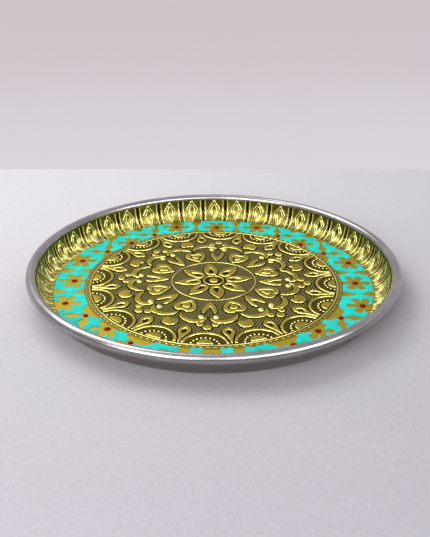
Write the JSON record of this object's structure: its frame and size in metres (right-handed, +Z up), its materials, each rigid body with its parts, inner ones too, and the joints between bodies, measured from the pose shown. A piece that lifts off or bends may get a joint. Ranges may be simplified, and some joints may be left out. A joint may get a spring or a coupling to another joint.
{
  "type": "serving plate",
  "caption": "Round shallow serving plate: pressed steel dish with a rolled rim, embossed gilt liner and a band of turquoise and red enamel flowers.",
  "frame": {"origin": "centre of the underside, on the surface that the plate stands on", "axes": "+Z up along the plate's axis; -Y towards the viewer of the picture, +X to the viewer's right"},
  "size_m": [0.305, 0.305, 0.0239],
  "materials": {
    "steel": "satin stainless steel, brighter along the crown of the rolled rim",
    "embossed_gilt": "gold-toned embossed sheet, polished raised lines over a darkened ground",
    "bonding_film": "hidden adhesive film",
    "turquoise_enamel": "glossy hand-filled enamel",
    "red_enamel": "glossy domed enamel drops"
  },
  "bodies": {
    "root": {"steel_dish": "steel", "liner_film": "bonding_film", "gilt_liner": "embossed_gilt", "turquoise_cell_01": "turquoise_enamel", "turquoise_cell_02": "turquoise_enamel", "turquoise_cell_03": "turquoise_enamel", "turquoise_cell_04": "turquoise_enamel", "turquoise_cell_05": "turquoise_enamel", "turquoise_cell_06": "turquoise_enamel", "turquoise_cell_07": "turquoise_enamel", "turquoise_cell_08": "turquoise_enamel", "turquoise_cell_09": "turquoise_enamel", "turquoise_cell_10": "turquoise_enamel", "turquoise_cell_11": "turquoise_enamel", "turquoise_cell_12": "turquoise_enamel", "turquoise_cell_13": "turquoise_enamel", "turquoise_cell_14": "turquoise_enamel", "turquoise_cell_15": "turquoise_enamel", "turquoise_cell_16": "turquoise_enamel", "turquoise_cell_17": "turquoise_enamel", "turquoise_cell_18": "turquoise_enamel", "turquoise_cell_19": "turquoise_enamel", "turquoise_cell_20": "turquoise_enamel", "turquoise_cell_21": "turquoise_enamel", "turquoise_cell_22": "turquoise_enamel", "turquoise_cell_23": "turquoise_enamel", "turquoise_cell_24": "turquoise_enamel", "red_drop_01": "red_enamel", "red_drop_02": "red_enamel", "red_drop_03": "red_enamel", "red_drop_04": "red_enamel", "red_drop_05": "red_enamel", "red_drop_06": "red_enamel", "red_drop_07": "red_enamel", "red_drop_08": "red_enamel", "red_drop_09": "red_enamel", "red_drop_10": "red_enamel", "red_drop_11": "red_enamel", "red_drop_12": "red_enamel", "red_drop_13": "red_enamel", "red_drop_14": "red_enamel", "red_drop_15": "red_enamel", "red_drop_16": "red_enamel", "red_drop_17": "red_enamel", "red_drop_18": "red_enamel", "red_drop_19": "red_enamel", "red_drop_20": "red_enamel", "red_drop_21": "red_enamel", "red_drop_22": "red_enamel", "red_drop_23": "red_enamel", "red_drop_24": "red_enamel"}
  },
  "joints": []
}
